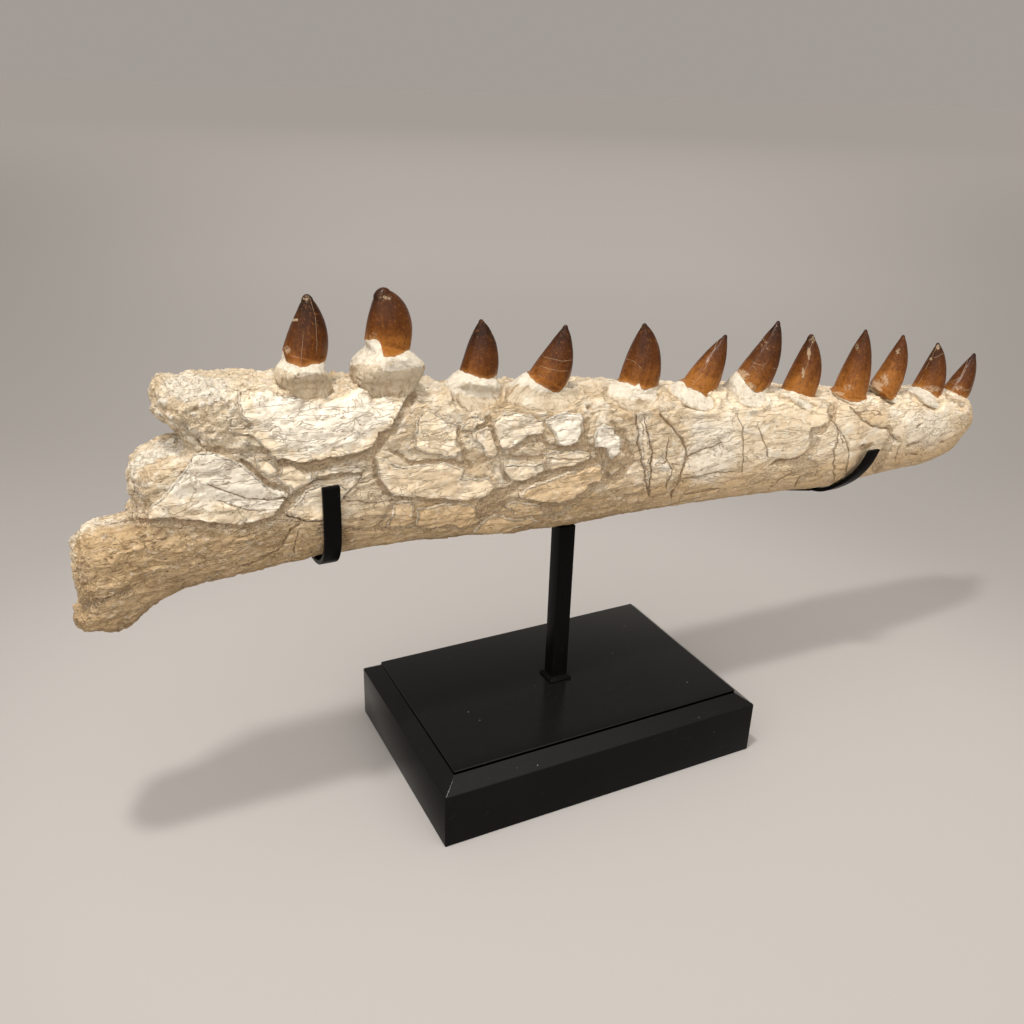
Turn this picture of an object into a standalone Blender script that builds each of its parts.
"""Fossil mosasaur jaw resting in a black steel cradle on a chamfered wooden base.

The jaw runs along X with its blunt tip at +X, its shown face looks along -Y, and
the origin is the middle of the base's underside. Sizes are in millimetres and
become metres when a mesh is made.
"""

import math
from dataclasses import dataclass

import bmesh
import bpy
import numpy as np
from mathutils import Vector, noise
from mathutils.geometry import delaunay_2d_cdt

MM = 0.001
GAP = 0.3

# Base block: a routed board with a chamfer and a raised field
BASE_LENGTH = 250.0
BASE_DEPTH = 164.6
BASE_SIDE_HEIGHT = 40.5
CHAMFER_INSET = 10.9
CHAMFER_RISE = 7.0
FIELD_RISE = 2.7
BASE_HEIGHT = BASE_SIDE_HEIGHT + CHAMFER_RISE + FIELD_RISE

# Post: a square bar with a weld bead round its foot
POST_WIDTH = 12.5
BEAD_WIDTH = 18.0
BEAD_HEIGHT = 3.2
BEAD_SHOULDER = (0.8, 0.55)

# Cradle: one flat rail under the bone and two straps that hook round it
STEEL = 3.0
RAIL_WIDTH = 16.0
RAIL_NEAR_EDGE = 0.0
RAIL_CLEARANCE = ((-170, 1.0), (195, 1.2), (230, 6.0))
STRAP_WIDTH = 10.5
STRAP_STEP = 7.0
RAIL_STATIONS = 15
REAR_STRAP_X = -175.3
REAR_STRAP_PATH = (
    (0, -30.8, 245.5), (0, -30.8, 234.0), (0, -30.6, 222.0), (0, -29.6, 212.0),
    (0, -27.2, 203.5), (0, -22.0, 196.0), (0, -15.0, 191.3), (0, -7.0, 189.0),
    (0, 1.0, 188.5), (0, 9.0, 189.0), (0, 17.0, 191.6), (0, 23.5, 196.6),
    (0, 28.0, 204.0), (0, 30.4, 213.0), (0, 31.2, 224.0), (0, 31.2, 236.0),
)
FRONT_STRAP_X = 236.0
FRONT_STRAP_PATH = (
    (15.0, -35.6, 210.5), (13.5, -35.4, 201.0), (11.0, -32.8, 192.0), (8.0, -27.8, 184.5),
    (5.0, -20.0, 177.5), (2.0, -11.0, 171.3), (0.0, -2.0, 168.3), (0.0, 8.0, 167.6),
    (0.0, 17.0, 169.5), (0.0, 25.0, 174.5), (0.0, 31.0, 182.0), (0.0, 35.0, 192.0),
    (0.0, 35.8, 205.0),
)

# Side elevation of the jaw, (x, z), from the broken rear end to the tip
LOWER_EDGE = (
    (-307, 164.5), (-297, 164.5), (-288, 167.5), (-278, 175), (-267, 180.5), (-254, 184.5),
    (-225, 187), (-175, 189.8), (-125, 190.5), (-92, 188), (-56, 184), (-18, 182),
    (22, 181.5), (64, 181), (109, 180), (156, 178), (206, 175), (246, 173.5),
    (272, 175), (302, 175.5), (345, 176.5),
)
TIP_EDGE = ((375, 182), (390, 192.5), (394, 205), (389, 218), (378, 229.5))
UPPER_EDGE = (
    (364, 236.5), (349, 239), (302, 242), (272, 245), (246, 248), (206, 253),
    (156, 261), (109, 266), (64, 272), (22, 277), (-18, 281), (-56, 284),
    (-92, 288), (-125, 292), (-150, 295.5), (-175, 298), (-200, 304.5),
    (-216, 308), (-232, 307.5), (-246, 309.5),
)
REAR_EDGE = (
    (-256, 309), (-261.5, 303), (-263, 291), (-256, 283), (-250, 275),
    (-257, 273.5), (-268, 270), (-279, 262.5), (-281, 253), (-279, 243),
    (-284, 231.5), (-298, 230), (-308, 227.5), (-314.5, 219), (-316, 208),
    (-316, 196), (-313.5, 186.5), (-319, 180), (-318, 169),
)

# Half thickness of the bone at stations along X
HALF_THICKNESS = (
    (-320, 21.0), (-290, 25.0), (-250, 27.5), (-180, 29.0), (0, 29.0),
    (150, 30.0), (240, 32.5), (310, 28.5), (360, 24.0), (392, 20.0),
)

# Roundness of the section: depth over which each edge rolls over, and its power
TOP_ROLL = (34.0, 3.4)
BOTTOM_ROLL = (44.0, 2.3)
REAR_ROLL = (11.0, 2.2)

# Mesh density of the bone
OUTLINE_STEP = 11.0
REAR_STEP = 6.5
RING_DEPTHS = (1.4, 4.5, 10.0, 17.0)
RING_STEPS = (1, 1, 1, 2)
FIELD_STEP = 13.0
BREAK_STEP = 9.5
WALL_RUN = 0.9
RELIEF_FADE = 7.0
RELIEF_EDGE_CLEARANCE = 5.0
POINT_CLEARANCE = 2.6
RING_CLEARANCE = 0.85
WELD = 0.02
LEAST_HALF = 1.0

# Lumps left by the preparation of the bone
FACE_SEED = 40.0
LUMP_SIZE = 17.0
LUMP_HEIGHT = 1.1
KNOB_SIZE = 8.0
KNOB_HEIGHT = 2.2
KNOBBLY_BELOW_X = -205.0
KNOBBLY_ABOVE_Z = 282.0

# The photograph's camera: relief on the shown face is placed by pixel on it
CAMERA_PLACE = (-314.9, -533.2, 459.4)
CAMERA_YAW = 27.17
CAMERA_PITCH = 23.95
CAMERA_ROLL = 1.80
FOCAL_PIXELS = 962.6
PICTURE_CENTRE = 512.0
NEAR_FACE_Y = -28.0

# Plates that stand proud of the bone round them: pixels on the photograph
RAISED_PLATES = {
    "main_plate": (2.2, (
        (238, 396), (256, 393), (274, 395), (290, 402), (308, 406), (332, 405), (356, 402),
        (380, 401), (402, 399), (397, 420), (382, 432), (378, 443), (360, 449), (336, 455),
        (311, 463), (283, 459), (268, 446), (252, 432), (240, 414),
    )),
    "leaf_plate": (2.4, (
        (146, 515), (158, 494), (176, 468), (197, 449), (218, 452), (236, 458), (254, 471),
        (270, 485), (287, 497), (276, 512), (258, 520), (238, 525), (214, 523), (178, 519),
    )),
    "lower_plate": (1.6, (
        (386, 461), (400, 465), (430, 462), (462, 470), (484, 474), (493, 483), (484, 497),
        (455, 498), (425, 497), (399, 493), (384, 478),
    )),
    "belly_plate": (1.4, (
        (417, 505), (440, 503), (470, 504), (477, 512), (478, 520), (468, 525), (440, 526),
        (415, 525),
    )),
    "middle_plate": (1.6, (
        (402, 437), (420, 428), (446, 432), (452, 446), (466, 457), (440, 461), (412, 459),
    )),
    "socket_plate": (1.8, (
        (492, 416), (520, 412), (541, 416), (544, 430), (528, 436), (514, 446), (500, 456),
        (488, 441), (478, 428),
    )),
    "white_patch": (1.7, (
        (597, 430), (606, 424), (617, 430), (620, 446), (616, 455), (606, 456), (601, 444),
    )),
    "grey_sliver": (2.2, (
        (522, 494), (540, 483), (562, 475), (584, 468), (602, 465), (600, 476), (582, 488),
        (560, 497), (536, 500),
    )),
    "plate_above_sliver": (1.8, (
        (552, 418), (566, 411), (584, 413), (590, 424), (582, 436), (566, 446), (555, 440),
    )),
}

# Trenches of rock and open cracks: half width, depth, pixels on the photograph
CHANNELS = {
    "under_main_plate": (2.6, 3.2, (
        (186, 439), (214, 444), (238, 446), (256, 459), (276, 468), (311, 469), (340, 461),
        (366, 455), (386, 442), (401, 427), (409, 410), (418, 399),
    )),
    "beside_leaf_plate": (2.2, 2.8, ((228, 449), (250, 461), (270, 475), (289, 488))),
    "under_leaf_plate": (2.0, 2.6, (
        (140, 521), (178, 525), (214, 529), (240, 531), (262, 526), (290, 519), (318, 520),
    )),
    "left_of_lower_plate": (2.0, 2.6, ((378, 452), (375, 466), (380, 481), (391, 494), (404, 500))),
    "over_belly_plate": (1.6, 2.2, ((404, 500), (440, 499), (472, 500), (486, 504))),
    "under_belly_plate": (1.5, 2.2, ((338, 524), (368, 528), (410, 529), (446, 530), (474, 527))),
    "rock_patch": (4.2, 3.0, ((478, 517), (490, 504), (504, 496), (517, 489))),
    "above_sliver": (2.6, 3.2, ((517, 489), (532, 477), (556, 468), (584, 459), (602, 451))),
    "below_sliver": (2.8, 3.2, (
        (528, 505), (556, 504), (580, 497), (602, 486), (617, 472), (627, 458), (624, 438),
        (616, 418), (600, 408),
    )),
    "socket_ledge": (1.8, 2.4, ((546, 424), (543, 436), (526, 443), (510, 455), (502, 470))),
    "tall_crack": (1.5, 2.0, ((662, 412), (674, 424), (685, 438), (686, 454), (681, 472), (674, 489))),
    "twin_crack_left": (1.2, 1.5, ((637, 419), (640, 445), (643, 468), (648, 491))),
    "twin_crack_right": (1.2, 1.5, ((647, 419), (653, 442), (653, 466), (651, 488))),
    "rock_band": (3.4, 2.6, ((795, 463), (808, 462), (816, 449), (815, 434), (825, 424), (829, 412))),
    "front_crack": (1.3, 1.8, ((832, 421), (841, 433), (848, 449), (850, 462))),
    "tip_band": (2.4, 2.4, ((884, 409), (890, 421), (892, 434), (888, 448), (880, 460))),
    "prong_split": (2.4, 4.5, ((84, 606), (102, 606), (118, 597), (130, 591))),
}

# The face turned away can't be seen: cracks of the same kind, as (x, z) there
FAR_CHANNELS = {
    "long_seam": (2.4, 3.0, (
        (-236, 247), (-190, 240), (-140, 246), (-85, 236), (-20, 232), (45, 236), (110, 226),
    )),
    "rear_branch": (1.8, 2.4, ((-190, 240), (-172, 262), (-150, 277))),
    "middle_branch": (1.8, 2.4, ((-20, 232), (-4, 212), (20, 200))),
    "cross_crack": (1.5, 2.0, ((72, 262), (64, 240), (72, 218), (66, 198))),
    "front_cross_crack": (1.6, 2.2, ((188, 246), (196, 226), (188, 206), (194, 190))),
    "tip_crack": (1.4, 1.8, ((296, 234), (302, 214), (294, 194))),
    "prong_seam": (2.2, 3.4, ((-300, 205), (-270, 215), (-236, 216), (-205, 209))),
}
FAR_PLATES = {
    "far_plate": (1.8, (
        (-226, 262), (-196, 254), (-160, 256), (-118, 262), (-96, 256), (-84, 270), (-110, 281),
        (-150, 284), (-196, 288), (-222, 280),
    )),
    "far_belly_plate": (1.6, (
        (-110, 226), (-70, 222), (-30, 222), (-12, 208), (-30, 200), (-76, 202), (-112, 210),
    )),
    "far_front_plate": (1.6, (
        (92, 246), (130, 240), (172, 238), (178, 216), (150, 204), (110, 208), (92, 224),
    )),
}


@dataclass(frozen=True)
class Tooth:
    """One tooth: crown above the neck, root below it down into its socket."""

    x: float
    neck_z: float
    neck_width: float
    crown: float
    base_lean: float
    tip_lean: float
    root_width: float
    taper: float = 1.75
    flatness: float = 0.86
    root_lean: float = 0.5


TEETH = (
    Tooth(-179.0, 316.0, 25.0, 34.5, 18, -8, 31.0, 1.9),
    Tooth(-129.0, 318.0, 28.0, 33.0, 14, -26, 43.0, 3.0, 0.80, -0.4),
    Tooth(-70.5, 294.5, 24.0, 34.0, 14, -10, 35.0, 2.0),
    Tooth(-21.0, 285.0, 27.5, 37.5, 30, 6, 42.0, 1.5, 0.86, 0.1),
    Tooth(49.8, 276.0, 28.5, 41.0, 14, -12, 36.0, 2.1),
    Tooth(101.6, 267.5, 26.0, 40.5, 33, 22, 32.0, 1.6),
    Tooth(149.3, 267.5, 28.0, 46.0, 36, 8, 36.0, 1.6),
    Tooth(195.0, 253.0, 27.5, 45.0, 22, -11, 33.0, 2.0),
    Tooth(248.6, 249.5, 27.0, 47.5, 14, -1, 31.0, 1.7),
    Tooth(284.7, 246.5, 24.5, 44.5, 32, -4, 28.0, 1.8),
    Tooth(334.0, 238.5, 26.5, 41.5, 22, -16, 30.0, 1.7),
    Tooth(368.5, 231.0, 23.5, 38.5, 34, 10, 26.0, 1.7),
)
TOOTH_Y = -5.0
TOOTH_SIDES = 10
SOCKET_DEPTH = 13.0
SOCKET_MOUTH = 25.0
ROOT_HALF_DEPTH_MOST = 17.0
CROWN_RINGS = (0.0, 0.22, 0.44, 0.64, 0.80, 0.92, 0.975, 1.0)
BLUNT_FROM = 0.90
BLUNT_HALF = 2.4
BLUNT_END = 1.02
NECK_LIP = 1.3
SMOOTH_BELOW = 50
ROOT_FLATNESS = 0.92
CROWN_FULLNESS = 0.86
ROOT_SHAPE = ((0.0, 0.0), (0.22, 0.72), (0.50, 1.0), (0.80, 0.94), (1.0, 0.72))


def smooth_line(points, step):
    """Points spaced about step apart on a smooth curve through the given points."""
    given = [np.array(point, float) for point in points]
    given = [2 * given[0] - given[1], *given, 2 * given[-1] - given[-2]]
    line = []
    for before, start, end, after in zip(given, given[1:], given[2:], given[3:]):
        pieces = max(1, round(float(np.linalg.norm(end - start)) / step))
        for piece in range(pieces):
            t = piece / pieces
            line.append(0.5 * (2 * start + (end - before) * t
                               + (2 * before - 5 * start + 4 * end - after) * t ** 2
                               + (3 * start - before - 3 * end + after) * t ** 3))
    line.append(given[-2])
    return np.array(line)


def straight_line(points, step):
    """Points about step apart along straight runs between the given points."""
    line = []
    for start, end in zip(np.array(points[:-1], float), np.array(points[1:], float)):
        pieces = max(1, round(float(np.linalg.norm(end - start)) / step))
        line += [start + (end - start) * piece / pieces for piece in range(pieces)]
    line.append(np.array(points[-1], float))
    return np.array(line)


def distance_to_line(points, line):
    """Distance of each 2D point to a polyline."""
    starts, ends = line[:-1], line[1:]
    runs = ends - starts
    offsets = points[:, None, :] - starts[None]
    along = np.clip((offsets * runs).sum(2) / (runs ** 2).sum(1), 0, 1)
    return np.linalg.norm(offsets - along[..., None] * runs, axis=2).min(1)


def inside(points, polygon):
    """Whether each 2D point lies inside a closed polygon."""
    x, z = points[:, 0, None], points[:, 1, None]
    ax, az = polygon[:, 0], polygon[:, 1]
    bx, bz = np.roll(ax, -1), np.roll(az, -1)
    crosses = (az > z) != (bz > z)
    rise = np.where(bz == az, 1.0, bz - az)
    return (crosses & (x < ax + (z - az) / rise * (bx - ax))).sum(1) % 2 == 1


def closed_line(polygon):
    """The polygon with its first point repeated at the end."""
    return np.vstack([polygon, polygon[:1]])


def camera_axes():
    """Right, up and forward directions of the photograph's camera."""
    yaw, pitch, roll = (math.radians(a) for a in (CAMERA_YAW, CAMERA_PITCH, CAMERA_ROLL))
    forward = np.array([math.sin(yaw) * math.cos(pitch), math.cos(yaw) * math.cos(pitch),
                        -math.sin(pitch)])
    level = np.array([math.cos(yaw), -math.sin(yaw), 0.0])
    above = np.cross(level, forward)
    return (math.cos(roll) * level + math.sin(roll) * above,
            math.cos(roll) * above - math.sin(roll) * level, forward)


def on_near_face(pixels):
    """(x, z) on the plane of the shown face for each pixel of the photograph."""
    right, up, forward = camera_axes()
    place = np.array(CAMERA_PLACE)
    found = []
    for u, v in pixels:
        ray = ((u - PICTURE_CENTRE) * right - (v - PICTURE_CENTRE) * up) / FOCAL_PIXELS + forward
        point = place + ray * (NEAR_FACE_Y - place[1]) / ray[1]
        found.append((point[0], point[2]))
    return np.array(found)


def new_object(name, mesh, material):
    """Adds an object that holds the mesh and shows the material."""
    mesh.materials.append(material)
    obj = bpy.data.objects.new(name, mesh)
    bpy.context.scene.collection.objects.link(obj)
    return obj


def mesh_of(name, points, faces, angle=None):
    """A mesh from points in millimetres; shaded smooth below the angle if one is given."""
    mesh = bpy.data.meshes.new(name)
    mesh.from_pydata([Vector(point) * MM for point in points], [], faces)
    work = bmesh.new()
    work.from_mesh(mesh)
    bmesh.ops.recalc_face_normals(work, faces=work.faces)
    work.to_mesh(mesh)
    work.free()
    if angle is not None:
        mesh.shade_smooth()
        mesh.set_sharp_from_angle(angle=math.radians(angle))
    return mesh


def paint(name, colour, roughness, metallic=0.0):
    """A plain material with the part's colour and gloss."""
    material = bpy.data.materials.new(name)
    material.use_nodes = True
    shader = material.node_tree.nodes["Principled BSDF"]
    shader.inputs["Base Color"].default_value = (*colour, 1.0)
    shader.inputs["Roughness"].default_value = roughness
    shader.inputs["Metallic"].default_value = metallic
    return material


def tube(rings):
    """Points and triangles of a closed tube through rings of equally many points."""
    sides = len(rings[0])
    points = [point for ring in rings for point in ring]
    faces = []
    for ring in range(len(rings) - 1):
        for side in range(sides):
            a, b = ring * sides + side, ring * sides + (side + 1) % sides
            faces += [(a, b, b + sides), (a, b + sides, a + sides)]
    faces.append(tuple(range(sides - 1, -1, -1)))
    last = (len(rings) - 1) * sides
    faces.append(tuple(range(last, last + sides)))
    return points, faces


def rectangle(half_x, half_y, z):
    """The four corners of a level rectangle about the Z axis."""
    return [(-half_x, -half_y, z), (half_x, -half_y, z), (half_x, half_y, z), (-half_x, half_y, z)]


def make_base(material):
    """The board: plain sides, a chamfer, and a field that stands up in a sharp step."""
    half_x, half_y = BASE_LENGTH / 2, BASE_DEPTH / 2
    field_x, field_y = half_x - CHAMFER_INSET, half_y - CHAMFER_INSET
    rings = [
        rectangle(half_x, half_y, 0.0),
        rectangle(half_x, half_y, BASE_SIDE_HEIGHT),
        rectangle(field_x, field_y, BASE_SIDE_HEIGHT + CHAMFER_RISE),
        rectangle(field_x, field_y, BASE_HEIGHT),
    ]
    return new_object("base_block", mesh_of("base_block", *tube(rings)), material)


def make_post(material, top):
    """The square bar, with the weld bead that spreads at its foot."""
    foot = BASE_HEIGHT + GAP
    inset, rise = BEAD_SHOULDER
    shoulder = BEAD_WIDTH / 2 - inset
    rings = [
        rectangle(BEAD_WIDTH / 2, BEAD_WIDTH / 2, foot),
        rectangle(shoulder, shoulder, foot + BEAD_HEIGHT * rise),
        rectangle(POST_WIDTH / 2, POST_WIDTH / 2, foot + BEAD_HEIGHT),
        rectangle(POST_WIDTH / 2, POST_WIDTH / 2, top),
    ]
    return new_object("post", mesh_of("post", *tube(rings)), material)


def make_strap(name, material, x, path):
    """A flat bar bent along the path, whose points lie on its inner face."""
    line = smooth_line(path, STRAP_STEP)
    rings = []
    for index, (dx, y, z) in enumerate(line):
        ahead = line[min(index + 1, len(line) - 1)] - line[max(index - 1, 0)]
        outward = np.array([ahead[2], -ahead[1]])
        outward *= STEEL / np.linalg.norm(outward)
        near, far = x + dx - STRAP_WIDTH / 2, x + dx + STRAP_WIDTH / 2
        rings.append([(near, y, z), (far, y, z), (far, y + outward[0], z + outward[1]),
                      (near, y + outward[0], z + outward[1])])
    return new_object(name, mesh_of(name, *tube(rings)), material)


def bone_underside(x):
    """Height of the bone's lower edge at a station."""
    edge = np.array(LOWER_EDGE)
    return float(np.interp(x, edge[:, 0], edge[:, 1]))


def rail_top(x):
    """Height of the rail's upper face, which follows the bone's underside."""
    stations = np.array(RAIL_CLEARANCE)
    return bone_underside(x) - float(np.interp(x, stations[:, 0], stations[:, 1]))


def make_rail(material, start, end):
    """The flat rail from strap to strap."""
    rings = []
    for x in np.linspace(start, end, RAIL_STATIONS):
        top = rail_top(x)
        near, far = RAIL_NEAR_EDGE, RAIL_NEAR_EDGE + RAIL_WIDTH
        rings.append([(x, near, top - STEEL), (x, far, top - STEEL), (x, far, top), (x, near, top)])
    return new_object("cradle_rail", mesh_of("cradle_rail", *tube(rings)), material)


class Bone:
    """The jaw bone: one side elevation, filled by two relief faces that meet at its edge."""

    def __init__(self):
        self.lower = smooth_line(LOWER_EDGE + TIP_EDGE[:2], OUTLINE_STEP)
        self.upper = smooth_line(TIP_EDGE[1:] + UPPER_EDGE, OUTLINE_STEP)
        self.rear = straight_line((UPPER_EDGE[-1], *REAR_EDGE, LOWER_EDGE[0]), REAR_STEP)
        self.outline = np.vstack([self.lower[:-1], self.upper[:-1], self.rear[:-1]])

    def half_thickness(self, points):
        """Distance from the middle plane to the bone's face at each (x, z)."""
        stations = np.array(HALF_THICKNESS)
        half = np.interp(points[:, 0], stations[:, 0], stations[:, 1])
        for line, (roll, power) in ((self.upper, TOP_ROLL), (self.lower, BOTTOM_ROLL),
                                    (self.rear, REAR_ROLL)):
            near = 1 - np.clip(distance_to_line(points, line) / roll, 0, 1)
            half = half * (1 - near ** power) ** (1 / power)
        return half

    def relief(self, points, plates, channels):
        """Height of the carved detail over the plain face at each (x, z)."""
        height = np.zeros(len(points))
        for rise, polygon in plates:
            edge = distance_to_line(points, closed_line(polygon))
            height += rise * np.where(inside(points, polygon), np.clip(edge / WALL_RUN, 0, 1), 0)
        trench = np.zeros(len(points))
        for half_width, depth, line in channels:
            off = distance_to_line(points, line)
            trench = np.maximum(trench, depth * np.clip((half_width + WALL_RUN - off) / half_width, 0, 1))
        edge = distance_to_line(points, closed_line(self.outline))
        return (height - trench) * np.clip(edge / RELIEF_FADE, 0, 1)

    def lumps(self, points, side):
        """Uneven swelling of the face, with knobs on the spongy upper rear."""
        height = np.empty(len(points))
        for index, (x, z) in enumerate(points):
            place = Vector((x, side * FACE_SEED, z))
            height[index] = LUMP_HEIGHT * noise.noise(place / LUMP_SIZE)
            if x < KNOBBLY_BELOW_X and z > KNOBBLY_ABOVE_Z:
                height[index] += KNOB_HEIGHT * noise.noise(place / KNOB_SIZE)
        return height

    def face_mesh(self, plates, channels, side):
        """Points and triangles of one face, from its outline, rings and relief edges."""
        outline = self.outline
        count = len(outline)
        points, edges = list(outline), [(i, (i + 1) % count) for i in range(count)]
        constraints = []
        for _, polygon in plates:
            loop = closed_line(polygon)
            for offset in (0.0, WALL_RUN):
                constraints.append(self.offset_loop(loop, offset))
        for half_width, _, line in channels:
            constraints.append(line)
            for sign in (-1, 1):
                constraints.append(self.offset_line(line, sign * (half_width + WALL_RUN)))
        for line in constraints:
            clear = distance_to_line(line, closed_line(outline)) > RELIEF_EDGE_CLEARANCE
            clear &= inside(line, outline)
            start = len(points)
            points += list(line)
            edges += [(start + i, start + i + 1) for i in range(len(line) - 1)
                      if clear[i] and clear[i + 1]]
        free = self.free_points(constraints)
        points += list(free)
        coords, _, faces, *_ = delaunay_2d_cdt([Vector(p) for p in points], edges, [], 0, WELD)
        flat = np.array([tuple(c) for c in coords])
        faces = np.array([tuple(face) for face in faces])
        faces = faces[inside(flat[faces].mean(1), outline)]
        used = np.unique(faces)
        keep = {int(old): new for new, old in enumerate(used)}
        flat = flat[used]
        y = self.half_thickness(flat) + self.relief(flat, plates, channels)
        border = distance_to_line(flat, closed_line(outline)) < 2 * WELD
        y = np.where(border, 0.0, np.maximum(y + self.lumps(flat, side), LEAST_HALF))
        solid = np.column_stack([flat[:, 0], side * y, flat[:, 1]])
        return solid, [tuple(keep[int(i)] for i in face) for face in faces]

    def offset_line(self, line, offset):
        """The line moved sideways."""
        run = np.gradient(line, axis=0)
        run /= np.linalg.norm(run, axis=1)[:, None]
        return line + offset * np.column_stack([-run[:, 1], run[:, 0]])

    def offset_loop(self, loop, offset):
        """The closed loop moved inwards."""
        ring = loop[:-1]
        run = np.roll(ring, -1, axis=0) - np.roll(ring, 1, axis=0)
        run /= np.linalg.norm(run, axis=1)[:, None]
        side = np.column_stack([-run[:, 1], run[:, 0]])
        inward = side if inside(ring + 0.2 * side, ring).mean() > 0.5 else -side
        return closed_line(ring + offset * inward)

    def free_points(self, constraints):
        """Ring points that round the edge off, and a triangular field inside them."""
        outline = self.outline
        border = closed_line(outline)
        run = np.roll(outline, -1, axis=0) - np.roll(outline, 1, axis=0)
        run /= np.linalg.norm(run, axis=1)[:, None]
        inward = np.column_stack([-run[:, 1], run[:, 0]])
        found = []
        for depth, step in zip(RING_DEPTHS, RING_STEPS):
            found.append(outline[::step] + depth * inward[::step])
        low, high = outline.min(0), outline.max(0)
        rows = np.arange(low[1], high[1], FIELD_STEP * 0.866)
        grid = [(x + (row % 2) * FIELD_STEP / 2, z) for row, z in enumerate(rows)
                for x in np.arange(low[0], high[0], FIELD_STEP)]
        grid = np.array(grid)
        found.append(grid[distance_to_line(grid, border) > RING_DEPTHS[-1] + FIELD_STEP / 2])
        depths = list(RING_DEPTHS) + [RING_DEPTHS[-1]]
        kept = []
        for depth, ring in zip(depths, found):
            ring = ring[inside(ring, outline)]
            ring = ring[distance_to_line(ring, border) > RING_CLEARANCE * depth]
            for line in constraints:
                ring = ring[distance_to_line(ring, line) > POINT_CLEARANCE]
            kept.append(ring)
        return np.vstack(kept)

    def make(self, material):
        """The bone as one closed object, its two faces welded along the outline."""
        near_plates = [(rise, on_near_face(outline)) for rise, outline in RAISED_PLATES.values()]
        near_channels = [(half, depth, smooth_line(on_near_face(line), BREAK_STEP))
                         for half, depth, line in CHANNELS.values()]
        far_plates = [(rise, np.array(outline, float)) for rise, outline in FAR_PLATES.values()]
        far_channels = [(half, depth, smooth_line(line, BREAK_STEP * 1.5))
                        for half, depth, line in FAR_CHANNELS.values()]
        near, near_faces = self.face_mesh(near_plates, near_channels, -1)
        far, far_faces = self.face_mesh(far_plates, far_channels, 1)
        faces = near_faces + [tuple(i + len(near) for i in face[::-1]) for face in far_faces]
        mesh = mesh_of("jaw_bone", np.vstack([near, far]), faces)
        work = bmesh.new()
        work.from_mesh(mesh)
        bmesh.ops.remove_doubles(work, verts=work.verts, dist=WELD * MM)
        bmesh.ops.recalc_face_normals(work, faces=work.faces)
        work.to_mesh(mesh)
        work.free()
        return new_object("jaw_bone", mesh, material)


def bone_top(x):
    """Height of the bone's upper edge at a station."""
    edge = np.array(UPPER_EDGE[::-1])
    return float(np.interp(x, edge[:, 0], edge[:, 1]))


def root_rings(tooth, grow=0.0):
    """Rings from the socket's floor up to the neck, moved outwards by grow."""
    lean = math.radians(tooth.base_lean)
    neck = np.array([tooth.x, TOOTH_Y, tooth.neck_z])
    floor = min(tooth.neck_z, bone_top(tooth.x)) - SOCKET_DEPTH
    axis = np.array([math.sin(lean * tooth.root_lean), 0.0, math.cos(lean * tooth.root_lean)])
    length = (tooth.neck_z - floor) / axis[2]
    rings = []
    for share, swell in ROOT_SHAPE[::-1]:
        half_x = ((1 - swell) * (tooth.neck_width + NECK_LIP * 2) + swell * tooth.root_width) / 2
        half_y = min(half_x * ROOT_FLATNESS, ROOT_HALF_DEPTH_MOST)
        centre = neck - axis * (length * share - grow * (1 - 2 * share))
        rings.append(ring_points(centre, lean * (1 - share), half_x + grow, half_y + grow))
    return rings


def crown_rings(tooth):
    """Rings from the neck to the tip, along an axis that bends from lean to lean."""
    start, end = math.radians(tooth.base_lean), math.radians(tooth.tip_lean)
    place = np.array([tooth.x, TOOTH_Y, tooth.neck_z])
    rings, reached = [], 0.0
    for share in CROWN_RINGS:
        middle = start + (end - start) * (reached + share) / 2
        run = np.array([math.sin(middle), 0.0, math.cos(middle)])
        place = place + run * tooth.crown * (share - reached)
        reached = share
        half_x = tooth.neck_width / 2 * (1 - share ** tooth.taper) ** CROWN_FULLNESS
        if share > BLUNT_FROM:
            rounding = (share - BLUNT_FROM) / (BLUNT_END - BLUNT_FROM)
            half_x = max(half_x, BLUNT_HALF * math.sqrt(1 - rounding ** 2))
        lean = start + (end - start) * share
        rings.append(ring_points(place, lean, half_x, half_x * tooth.flatness))
    return rings


def ring_points(centre, tilt, half_x, half_y):
    """An ellipse of points about the centre, level when the tilt is nought."""
    across = np.array([math.cos(tilt), 0.0, -math.sin(tilt)])
    ring = []
    for side in range(TOOTH_SIDES):
        turn = 2 * math.pi * side / TOOTH_SIDES
        ring.append(centre + across * half_x * math.cos(turn)
                    + np.array([0.0, half_y * math.sin(turn), 0.0]))
    return ring


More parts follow.
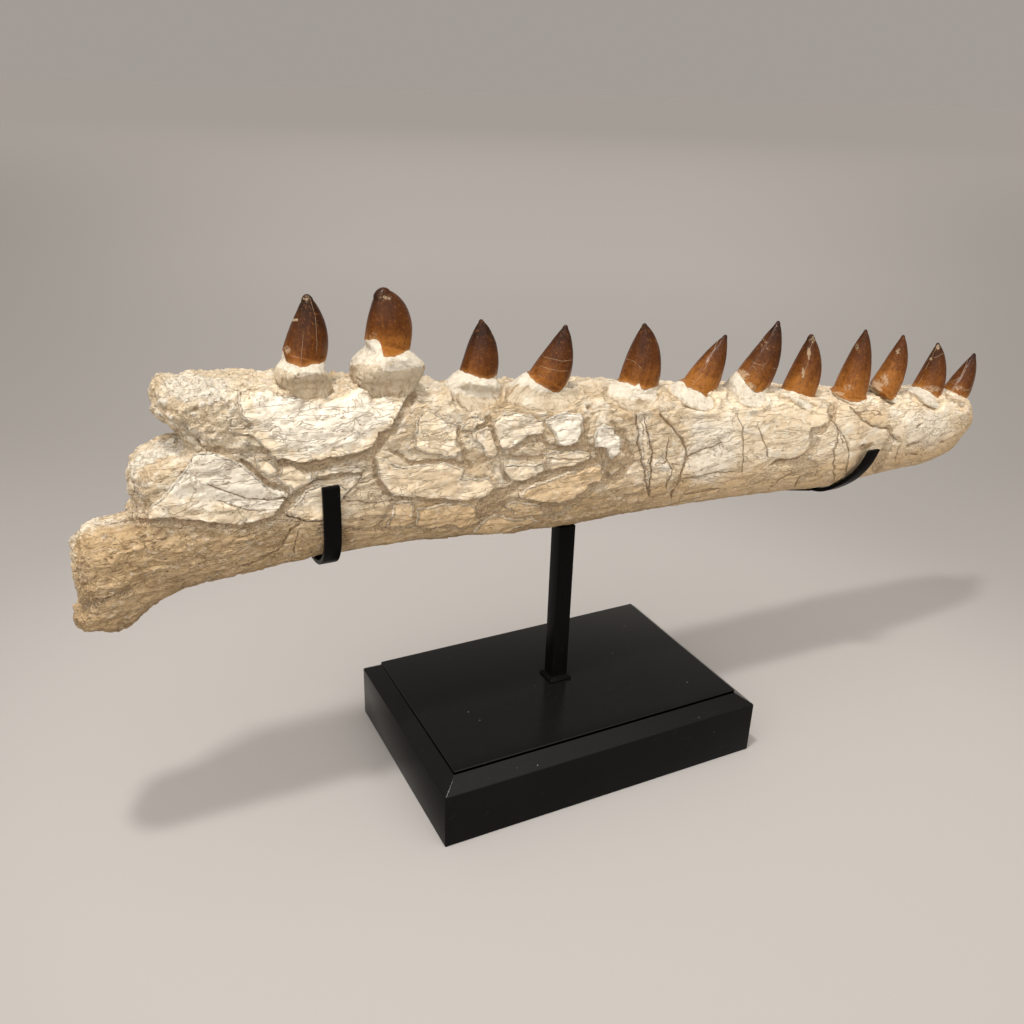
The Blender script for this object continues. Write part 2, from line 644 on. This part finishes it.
def make_tooth(number, tooth, enamel, root_paint):
    """Crown and root as the one piece that grew."""
    root, crown = root_rings(tooth), crown_rings(tooth)
    name = f"tooth_{number:02d}"
    mesh = mesh_of(name, *tube(root + crown), angle=SMOOTH_BELOW)
    obj = new_object(name, mesh, root_paint)
    mesh.materials.append(enamel)
    first_crown_face = 2 * len(root) * TOOTH_SIDES
    root_floor = len(mesh.polygons) - 2
    for polygon in mesh.polygons:
        if polygon.index >= first_crown_face and polygon.index != root_floor:
            polygon.material_index = 1
    return obj


def cut_sockets(bone, material):
    """Takes each root's place out of the bone, wider by the gap and open above."""
    points, faces = [], []
    for tooth in TEETH:
        root = root_rings(tooth, GAP)
        lean = math.radians(tooth.base_lean)
        lift = np.array([math.sin(lean), 0.0, math.cos(lean)]) * SOCKET_MOUTH
        more, more_faces = tube(root + [[point + lift for point in root[-1]]])
        start = len(points)
        points += more
        faces += [tuple(i + start for i in face) for face in more_faces]
    cutter = new_object("socket_cutter", mesh_of("socket_cutter", points, faces), material)
    cutter.hide_render = True
    cutter.display_type = "WIRE"
    cut = bone.modifiers.new("sockets", "BOOLEAN")
    cut.operation = "DIFFERENCE"
    cut.object = cutter


def main():
    """Clears the scene and models the stand, the bone and its teeth."""
    for obj in list(bpy.data.objects):
        bpy.data.objects.remove(obj)
    black_wood = paint("black_lacquer", (0.012, 0.012, 0.011), 0.4)
    black_steel = paint("black_steel", (0.01, 0.01, 0.01), 0.35)
    bone_paint = paint("fossil_bone", (0.72, 0.60, 0.43), 0.8)
    root_paint = paint("tooth_root", (0.80, 0.72, 0.58), 0.75)
    enamel = paint("tooth_enamel", (0.28, 0.10, 0.03), 0.2)
    make_base(black_wood)
    make_post(black_steel, rail_top(0.0) - STEEL - GAP)
    make_strap("strap_rear", black_steel, REAR_STRAP_X, REAR_STRAP_PATH)
    make_strap("strap_front", black_steel, FRONT_STRAP_X, FRONT_STRAP_PATH)
    make_rail(black_steel, REAR_STRAP_X + STRAP_WIDTH / 2 + GAP,
              FRONT_STRAP_X - STRAP_WIDTH / 2 - GAP)
    bone = Bone().make(bone_paint)
    cut_sockets(bone, bone_paint)
    for number, tooth in enumerate(TEETH, start=1):
        make_tooth(number, tooth, enamel, root_paint)


main()
